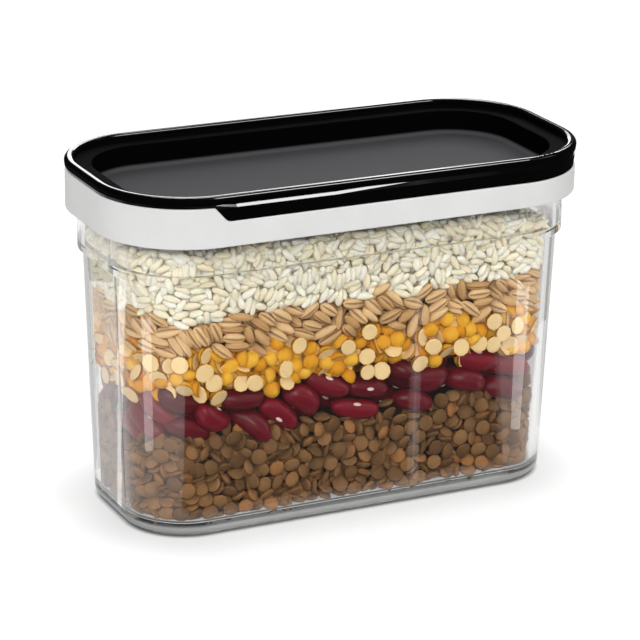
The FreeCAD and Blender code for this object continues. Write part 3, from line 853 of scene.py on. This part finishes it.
def wall_place(round_distance, height, depth, reach):
    """A point at a depth inside the wall, with the directions along the wall, up and outwards.

    In the corners a grain lies deeper, so that its ends, each at a reach from its middle, stay inside."""
    radius = food_radius(height) - depth
    rest = round_distance % ROUND_THE_BOX
    for side in range(4):
        half, inset = (CORNER_X, CORNER_Y) if side % 2 == 0 else (CORNER_Y, CORNER_X)
        angle = (side - 1) * math.pi / 2
        outwards = Vector((math.cos(angle), math.sin(angle), 0))
        along = Vector((-math.sin(angle), math.cos(angle), 0))
        if rest < 2 * half:
            point = outwards * (inset + radius) + along * (rest - half)
            break
        rest -= 2 * half
        if rest < QUARTER:
            corner = outwards * inset + along * half
            angle += rest / MEAN_RADIUS
            outwards = Vector((math.cos(angle), math.sin(angle), 0))
            along = Vector((-math.sin(angle), math.cos(angle), 0))
            point = corner + outwards * (radius - reach * reach / (2 * MEAN_RADIUS))
            break
        rest -= QUARTER
    point.z = height
    return point, Matrix((along, Vector((0, 0, 1)), outwards)).transposed()


print("distance round the food in mm:", round(ROUND_THE_BOX / MM))

# %% [markdown]
# A grain against the wall shows as an ellipse. Starting from an even scatter, each grain is pushed away
# from those it overlaps, and turned by the push, until they fit like real ones. Each grain stands in
# as three circles in a row, which is enough to tell how two of them overlap. Blender's rigid bodies could
# drop the grains instead, but that takes minutes and may come out differently the next time.

# %% Packing
CIRCLES = 3
CLOSENESS = 0.5
ROUNDS_PER_SEARCH = 6
LEAST_DISTANCE = 1e-9


def shown_ellipses(turns, half_sizes):
    """Half axes and angle of each grain's outline seen from outside, and its half depth."""
    stretched = turns * np.array(half_sizes)
    spread = stretched @ stretched.transpose(0, 2, 1)
    values, vectors = np.linalg.eigh(spread[:, :2, :2])
    angle = np.arctan2(vectors[:, 1, 1], vectors[:, 0, 1])
    return np.sqrt(values[:, 1]), np.sqrt(values[:, 0]), angle, np.sqrt(spread[:, 2, 2])


def near_pairs(across, up, reach, period):
    """Pairs of grains that are close enough to touch."""
    first = np.argsort(across)
    first_parts = []
    second_parts = []
    largest = 2 * reach.max()
    for step in range(1, len(first)):
        second = np.roll(first, -step)
        gap = (across[second] - across[first] + period / 2) % period - period / 2
        inside = np.abs(gap) < largest
        if not inside.any():
            break
        close = inside & (np.hypot(gap, up[second] - up[first]) < reach[first] + reach[second])
        first_parts.append(first[close])
        second_parts.append(second[close])
    return np.concatenate(first_parts), np.concatenate(second_parts)


def relax(across, up, angle, half_long, half_short, period, low, high, rounds):
    """Pushes overlapping grains apart in place; low and high limit how far up and down they go."""
    arm = (half_long - half_short)[:, None] * np.linspace(-1, 1, CIRCLES)
    count = len(across)
    meetings = CIRCLES ** 2
    weight = half_long ** 2
    for number in range(rounds):
        if number % ROUNDS_PER_SEARCH == 0:
            first, second = near_pairs(across, up, half_long + half_short, period)
        centre_x = arm * np.cos(angle)[:, None]
        centre_y = arm * np.sin(angle)[:, None]
        gap_x = (across[second] - across[first] + period / 2) % period - period / 2
        gap_y = up[second] - up[first]
        dx = gap_x[:, None, None] + centre_x[second][:, None, :] - centre_x[first][:, :, None]
        dy = gap_y[:, None, None] + centre_y[second][:, None, :] - centre_y[first][:, :, None]
        distance = np.hypot(dx, dy) + LEAST_DISTANCE
        overlap = (half_short[first] + half_short[second])[:, None, None] - distance
        worst = overlap.reshape(len(first), meetings).argmax(axis=1)
        pair = np.arange(len(first))
        push = np.clip(overlap.reshape(-1, meetings)[pair, worst], 0, None) * CLOSENESS
        push_x = push * (dx / distance).reshape(-1, meetings)[pair, worst]
        push_y = push * (dy / distance).reshape(-1, meetings)[pair, worst]
        share = weight[second] / (weight[first] + weight[second])
        sides = ((first, -1, share, worst // CIRCLES), (second, 1, 1 - share, worst % CIRCLES))
        for index, sign, part, column in sides:
            lever_x = centre_x[index, column]
            lever_y = centre_y[index, column]
            twist = sign * (lever_x * push_y - lever_y * push_x) / weight[index]
            across += np.bincount(index, sign * part * push_x, count)
            up += np.bincount(index, sign * part * push_y, count)
            angle += np.bincount(index, part * twist, count)
        np.clip(up, low, high, out=up)
    return across % period


print("circles per grain:", CIRCLES)

# %% [markdown]
# Each food lies in its own way: rice anyhow, wheat and beans mostly level, split peas and lentils at any
# angle, with some flat against the wall, either side out. A turn is a matrix whose columns are the grain's
# own axes, seen along the wall, upwards and outwards. All angles here are in radians.

# %% How grains lie
STANDING_OUT = (0.5, 1.3)
FACING_SPREAD = 0.3
EDGE_ON = 0.5
ANY_WAY = (0, 2 * math.pi)


def turns_from(long_axis, spin):
    """Turns that point the grains' X axes along given directions and spin them about those."""
    long_axis = long_axis / np.linalg.norm(long_axis, axis=1, keepdims=True)
    helper = np.where(np.abs(long_axis[:, 2:]) < 0.9, [[0.0, 0.0, 1.0]], [[0.0, 1.0, 0.0]])
    side = np.cross(helper, long_axis)
    side /= np.linalg.norm(side, axis=1, keepdims=True)
    top = np.cross(long_axis, side)
    cos = np.cos(spin)[:, None]
    sin = np.sin(spin)[:, None]
    return np.stack([long_axis, side * cos + top * sin, top * cos - side * sin], axis=2)


def lie_along(draw, count, level_spread, tilt_spread, upright_share, spin_spread=None):
    """Long grains: how far they leave the level, how far they point at the wall, how many stand out.

    With a spin spread their tops turn to the wall, give or take; else they lie on any side."""
    heading = draw.normal(0, level_spread, count)
    tilt = draw.normal(0, tilt_spread, count)
    upright = draw.random(count) < upright_share
    tilt = np.where(upright, draw.uniform(*STANDING_OUT, count), tilt)
    axis = np.stack([np.cos(tilt) * np.cos(heading), np.cos(tilt) * np.sin(heading), np.sin(tilt)], axis=1)
    spin = draw.normal(0, spin_spread, count) if spin_spread else draw.uniform(*ANY_WAY, count)
    return turns_from(axis, spin)


def lie_facing(draw, count, flat_out_share, dome_out_share):
    """Flat grains: how many show their underside, how many their top; the rest lie at any angle."""
    kind = draw.random(count)
    lean = draw.normal(0, FACING_SPREAD, count)
    free = draw.uniform(EDGE_ON, math.pi - EDGE_ON, count)
    lean = np.where(kind < flat_out_share, math.pi + lean, lean)
    lean = np.where(kind > flat_out_share + dome_out_share, free, lean)
    heading = draw.uniform(*ANY_WAY, count)
    face = np.stack([np.sin(lean) * np.cos(heading), np.sin(lean) * np.sin(heading), np.cos(lean)], axis=1)
    turns = turns_from(face, draw.uniform(*ANY_WAY, count))
    return turns[:, :, [1, 2, 0]]


HABITS = {
    "rice": (lie_along, {"level_spread": 1.3, "tilt_spread": 0.4, "upright_share": 0.22}),
    "wheat": (lie_along, {"level_spread": 0.42, "tilt_spread": 0.2, "upright_share": 0.1,
                          "spin_spread": 0.7}),
    "split_pea": (lie_facing, {"flat_out_share": 0.24, "dome_out_share": 0.14}),
    "kidney_bean": (lie_along, {"level_spread": 0.2, "tilt_spread": 0.15, "upright_share": 0.04}),
    "lentil": (lie_facing, {"flat_out_share": 0.16, "dome_out_share": 0.16}),
}


def lie_down(draw, food, count):
    """Turns for a number of grains that lie as their food does."""
    way, habit = HABITS[food]
    return way(draw, count, **habit)


print("foods:", sorted(HABITS))

# %% [markdown]
# Grains start from an even scatter, as many as cover the wall. Two steps that share no simple fraction
# spread points evenly without the clumps of plain chance. Where layers meet, the line between them is wavy,
# as it is where food was poured on food.

# %% Where grains start
FOODS = ["lentil", "kidney_bean", "split_pea", "wheat", "rice"]
LAYER_OF = {food: f"{food}_layer" for food in FOODS}
FILLED_SHARE = {"lentil": 0.9, "kidney_bean": 0.98, "split_pea": 0.95, "wheat": 0.98, "rice": 1.06}
SAMPLE = 400
EVEN_STEPS = (0.7548776662, 0.5698402910)
WAVE = 1.2 * MM
WAVES = ((5, 1.0, 1.0), (11, 0.6, 2.3))
WAVE_SHIFT = 1.7
EDGE_SHARE = 0.8
RICE_RISE = 3.0 * MM
RICE_TOP = rice_high.z + RICE_RISE


def wavy(height, round_distance, food):
    """The uneven line where a layer ends, at each distance round the box."""
    phase = WAVE_SHIFT * FOODS.index(food)
    turns = 2 * math.pi * round_distance / ROUND_THE_BOX
    rise = sum(part * np.sin(number * turns + shift * phase) for number, part, shift in WAVES)
    return height + WAVE * rise


def grain_count(draw, food, area):
    """How many grains cover an area, judged by the outlines of a sample."""
    long, short, _, _ = shown_ellipses(lie_down(draw, food, SAMPLE), GRAIN_HALF_SIZES[food])
    return int(FILLED_SHARE[food] * area / (math.pi * float(np.mean(long * short))))


def even_shares(draw, count):
    """Two rows of numbers from 0 to 1 that cover a rectangle evenly."""
    return [(draw.random() + np.arange(count) * step) % 1 for step in EVEN_STEPS]


def scatter(draw, food):
    """Even starting places for one food, with the turn of each grain."""
    low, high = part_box(LAYER_OF[food])
    if food == "rice":
        high.z = RICE_TOP
    count = grain_count(draw, food, ROUND_THE_BOX * (high.z - low.z))
    across_share, up_share = even_shares(draw, count)
    across = across_share * ROUND_THE_BOX
    bottom = np.full(count, low.z)
    top = np.full(count, high.z)
    if food != FOODS[0]:
        bottom = wavy(low.z, across, FOODS[FOODS.index(food) - 1])
    if food != FOODS[-1]:
        top = wavy(high.z, across, food)
    edge = EDGE_SHARE * GRAIN_HALF_SIZES[food][2]
    return across, bottom + edge + up_share * (top - bottom - 2 * edge), lie_down(draw, food, count)


print("rice rises to mm:", round(RICE_TOP / MM, 1))

# %% [markdown]
# Now the wall is filled, all five foods together, so that they push into each other where they meet as
# poured layers do. Two more rounds fill the gaps behind, each nearly a grain's thickness deeper. The rice
# ends in an uneven heap, so grains above the heap are left out.

# %% Fill along the wall
SPARE = 0.3 * MM
DEEPER_STEP = 1.7
HEAP_ROLL = 1.6 * MM
HEAP_FALL = 2.8 * MM
HEAP_END = 1.42
SWELL_ALONG = 55
SWELL_ACROSS = 80
SWELL_SLANT = 30
SWELL_SHIFT = 0.6


def heap(x, y):
    """How far the poured rice lies below its highest level: it rolls, and falls away to the right."""
    swell = math.sin(SWELL_ALONG * x + SWELL_SHIFT)
    cross_swell = math.sin(SWELL_ACROSS * y + SWELL_SLANT * x)
    rolling = 0.5 + 0.25 * swell + 0.25 * cross_swell
    return HEAP_ROLL * rolling + HEAP_FALL * min(max(x / CORNER_X, 0), HEAP_END) ** 4


def settled(point, axes, spin, turn):
    """The place of a grain whose turn is given on a surface with these axes, after packing has spun it."""
    turned = axes @ Matrix.Rotation(spin, 3, "Z") @ Matrix(turn.tolist())
    return Matrix.Translation(point) @ turned.to_4x4()


def fill_wall(seed, deeper, rounds):
    """Places for grains of all foods, as a list of (food, matrix) pairs."""
    draw = np.random.default_rng(seed)
    parts = [scatter(draw, food) for food in FOODS]
    shown = [shown_ellipses(part[2], GRAIN_HALF_SIZES[food]) for food, part in zip(FOODS, parts)]
    across, up, turns = (np.concatenate(column) for column in zip(*parts))
    half_long, half_short, angle, half_deep = (np.concatenate(column) for column in zip(*shown))
    foods = [food for food, part in zip(FOODS, parts) for _ in part[0]]
    start = angle.copy()
    low = lentil_low.z + half_short
    high = RICE_TOP - half_short
    across = relax(across, up, angle, half_long, half_short, ROUND_THE_BOX, low, high, rounds)
    places = []
    for index, food in enumerate(foods):
        behind = deeper * DEEPER_STEP * GRAIN_HALF_SIZES[food][2]
        depth = half_deep[index] + behind + draw.uniform(0, SPARE)
        reach = half_long[index] * abs(math.cos(angle[index]))
        point, axes = wall_place(across[index], up[index], depth, reach)
        if food == "rice" and point.z + half_short[index] > RICE_TOP - heap(point.x, point.y):
            continue
        places.append((food, settled(point, axes, angle[index] - start[index], turns[index])))
    return places


placed = fill_wall(seed=11, deeper=0, rounds=60)
placed += fill_wall(seed=12, deeper=1, rounds=30)
placed += fill_wall(seed=13, deeper=2, rounds=15)
print("grains along the wall:", {food: sum(1 for item in placed if item[0] == food) for food in FOODS})

# %% [markdown]
# The rice also shows from above, under the lid, and the lentils from below, through the clear base. Both
# are packed in the same way, on a level surface instead of the wall.

# %% Fill the top and the bottom
SECOND_LAYER = 2 * MM
EDGE_REACH = 0.6


def inside_outline(x, y, radius):
    """True where a point lies inside the rounded rectangle with this corner radius."""
    return np.hypot(np.clip(np.abs(x) - CORNER_X, 0, None), np.clip(np.abs(y) - CORNER_Y, 0, None)) < radius


def fill_level(seed, food, facing, level, radius, rounds):
    """Places for grains that lie on a level surface, looking up or down."""
    draw = np.random.default_rng(seed)
    half_x = CORNER_X + radius
    half_y = CORNER_Y + radius
    count = grain_count(draw, food, 4 * half_x * half_y)
    x_share, y_share = even_shares(draw, count)
    x = (x_share * 2 - 1) * half_x
    y = (y_share * 2 - 1) * half_y
    turns = lie_down(draw, food, count)
    half_long, half_short, angle, half_deep = shown_ellipses(turns, GRAIN_HALF_SIZES[food])
    start = angle.copy()
    x = relax(x + half_x, y, angle, half_long, half_short, 4 * half_x, -half_y, half_y, rounds) - half_x
    axes = Matrix(((1, 0, 0), (0, facing, 0), (0, 0, facing))).transposed()
    places = []
    for index in np.flatnonzero(inside_outline(x, y, radius - EDGE_REACH * half_long)):
        drop = half_deep[index] + (heap(x[index], y[index]) if facing > 0 else 0)
        point = Vector((x[index], y[index], level - facing * drop))
        places.append((food, settled(point, axes, angle[index] - start[index], turns[index])))
    return places


top_radius = rice_high.x - CORNER_X
bottom_radius = food_radius(lentil_low.z + 0.5 * FLOOR_ROUND)
rice_top = fill_level(21, "rice", 1, RICE_TOP, top_radius, rounds=40)
rice_top += fill_level(22, "rice", 1, RICE_TOP - SECOND_LAYER, top_radius, rounds=20)
lentil_bottom = fill_level(23, "lentil", -1, lentil_low.z, bottom_radius, rounds=40)
print("rice on top:", len(rice_top), "lentils below:", len(lentil_bottom))

# %% [markdown]
# One mesh per food holds its grains and a plain core behind them, so that no gap shows daylight. The core
# is coloured with painted shade, the dark that lies deep between real grains. The top of the rice is a mesh
# of its own. Thousands of objects would be slow to handle, and a solid block of grains would be mostly
# unseen.
# Sizes vary a little from grain to grain, and each gets its tone here.

# %% Build the foods
CORE_DEPTH = {"rice": 6.0 * MM, "wheat": 8.0 * MM, "split_pea": 8.0 * MM, "kidney_bean": 14.0 * MM,
              "lentil": 6.0 * MM}
RICE_CORE_GAP = 9.0 * MM
LENTIL_CORE_GAP = 3.0 * MM
SIZE_SPREAD = 0.06
SIZE_LIMITS = (0.85, 1.15)
DARKEST_GRAIN = 0.2


def add_shaded_core(shape, food, tones_and_shade):
    """A rounded block inside the grains, given tone 0: painted shade, darker than any grain."""
    low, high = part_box(LAYER_OF[food])
    depth = CORE_DEPTH[food]
    top = high.z - RICE_CORE_GAP if food == "rice" else high.z
    bottom = low.z + LENTIL_CORE_GAP if food == "lentil" else low.z
    made = bmesh.ops.create_cube(shape, size=1)["verts"]
    bmesh.ops.scale(shape, verts=made, vec=(2 * (high.x - depth), 2 * (high.y - depth), top - bottom))
    bmesh.ops.translate(shape, verts=made, vec=(0, 0, (top + bottom) / 2))
    upright = {edge for point in made for edge in point.link_edges
               if abs(edge.verts[0].co.z - edge.verts[1].co.z) > 0.5 * (top - bottom)}
    rounded = bmesh.ops.bevel(shape, geom=list(upright), offset=food_radius(high.z) - depth, affect="EDGES",
                              segments=5, profile=0.5, material=-1)
    for point in rounded["verts"]:
        # Tone 0 paints the core in the shade colour of its food.
        point[tones_and_shade] = 0


def food_piece(name, food, places, seed, core=True):
    """One mesh of a food's grains, with or without a core."""
    draw = np.random.default_rng(seed)
    shape = bmesh.new()
    tones_and_shade = shape.verts.layers.float.new("tone")
    shape.verts.layers.float.new("mark")
    grain = grain_shapes[food]
    points = len(grain.vertices)
    for _, place in places:
        copy = grain.copy()
        size = draw.normal(1, SIZE_SPREAD, 3).clip(*SIZE_LIMITS)
        copy.transform(place @ Matrix.Diagonal((*size, 1)))
        tone = DARKEST_GRAIN + (1 - DARKEST_GRAIN) * draw.random()
        copy.attributes["tone"].data.foreach_set("value", np.full(points, tone, np.float32))
        shape.from_mesh(copy)
        bpy.data.meshes.remove(copy)
    if core:
        add_shaded_core(shape, food, tones_and_shade)
    piece = link_piece(name, shape)
    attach(piece, "container")
    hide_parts(LAYER_OF[food])
    return piece


def wall_grains(food):
    return [item for item in placed if item[0] == food]


food_pieces = {
    "rice": [food_piece("rice_at_wall", "rice", wall_grains("rice"), seed=31),
             food_piece("rice_on_top", "rice", rice_top, seed=32, core=False)],
    "wheat": [food_piece("wheat_grains", "wheat", wall_grains("wheat"), seed=33)],
    "split_pea": [food_piece("split_peas", "split_pea", wall_grains("split_pea"), seed=34)],
    "kidney_bean": [food_piece("kidney_beans", "kidney_bean", wall_grains("kidney_bean"), seed=35)],
    "lentil": [food_piece("lentils", "lentil", wall_grains("lentil") + lentil_bottom, seed=36)],
}
for pieces in food_pieces.values():
    print([(piece.name, len(piece.data.polygons)) for piece in pieces])

# %% [markdown]
# The finishes of the foods come last. Tone runs from the painted shade of the core at 0 to the palest grain
# at 1; the mark brings in a second colour. The pale flat of a pea and the scar of a bean are their own
# colours, while the dark of the wheat crease and of the lentil rim is painted shade. Light passes a little
# way into rice, and beans have a polished skin.

# %% Food finishes
LIP_HIGHLIGHT = 1.6
TONE_SPREAD = 0.25
ROUGHNESS_SPREAD = 0.15
RICE_GLOW_THROUGH = {"Subsurface Weight": 0.5, "Subsurface Radius": (1.0, 0.75, 0.45),
                     "Subsurface Scale": 1.5 * MM}
BEAN_POLISH = {"Coat Weight": 0.4, "Coat Roughness": 0.12}


def food_finish(name, tones_and_shade, mark_colour_and_shade, mark_power, roughness, bump_scale, bump_strength, extra=None):
    """A finish whose colour follows tone and mark, with fine unevenness; extra sets more of the shader.

    Where the mark fades out the tone is raised: a painted highlight on the lips of the wheat crease, and a
    paler band round the other marks."""
    recipe = material_recipe(name)
    tone = recipe.node("ShaderNodeAttribute", {"attribute_name": "tone"}, out="Fac")
    mark = recipe.node("ShaderNodeAttribute", {"attribute_name": "mark"}, out="Fac")
    place = recipe.place()
    uneven = recipe.noise(place, bump_scale, detail=3.0)
    # Painted highlight: the tone rises where a mark fades out, most plainly on the lips of the wheat
    # crease.
    lip_highlight = mark * (1 - mark) * LIP_HIGHLIGHT
    plain = recipe.node("ShaderNodeValToRGB", {"stops": tones_and_shade}, {
        "Fac": tone + (uneven - 0.5) * TONE_SPREAD + lip_highlight})
    bump = recipe.bump(uneven, bump_strength, distance=0.4 * MM)
    return recipe.show(recipe.surface({
        "Base Color": recipe.mix(mark ** mark_power, plain, mark_colour_and_shade),
        "Roughness": roughness + uneven * ROUGHNESS_SPREAD, "Normal": bump,
        "Specular IOR Level": 0.06, **(extra or {})}))


finishes = {
    "rice": food_finish("rice", [
        (0.0, linear(196, 174, 136)), (0.15, linear(242, 229, 200)), (1.0, linear(254, 249, 234))],
        mark_colour_and_shade=linear(254, 249, 234), mark_power=1.0, roughness=0.4,
        bump_scale=400.0, bump_strength=0.15, extra=RICE_GLOW_THROUGH),
    # The wheat crease is marked in a dark colour: painted shade in the groove.
    "wheat": food_finish("wheat", [
        (0.0, linear(70, 46, 22)), (0.15, linear(190, 146, 94)), (1.0, linear(238, 202, 152))],
        mark_colour_and_shade=linear(124, 82, 44), mark_power=3.0, roughness=0.5,
        bump_scale=900.0, bump_strength=0.3),
    "split_pea": food_finish("split_peas", [
        (0.0, linear(96, 58, 8)), (0.15, linear(224, 150, 24)), (1.0, linear(246, 192, 66))],
        mark_colour_and_shade=linear(244, 214, 158), mark_power=1.0, roughness=0.5,
        bump_scale=700.0, bump_strength=0.25),
    "kidney_bean": food_finish("kidney_beans", [
        (0.0, linear(16, 2, 4)), (0.15, linear(78, 1, 14)), (1.0, linear(126, 5, 30))],
        mark_colour_and_shade=linear(240, 226, 214), mark_power=1.0, roughness=0.3,
        bump_scale=120.0, bump_strength=0.05, extra=BEAN_POLISH),
    # The lentil rim is marked in a darker brown: painted shade between the grains.
    "lentil": food_finish("lentils", [
        (0.0, linear(26, 16, 8)), (0.15, linear(94, 66, 38)), (0.9, linear(146, 108, 69)),
        (1.0, linear(166, 112, 62))],
        mark_colour_and_shade=linear(74, 49, 26), mark_power=2.0, roughness=0.45,
        bump_scale=600.0, bump_strength=0.15),
}
for food, pieces in food_pieces.items():
    for piece in pieces:
        piece.data.materials.append(finishes[food])
print("foods dressed:", sorted(finishes))
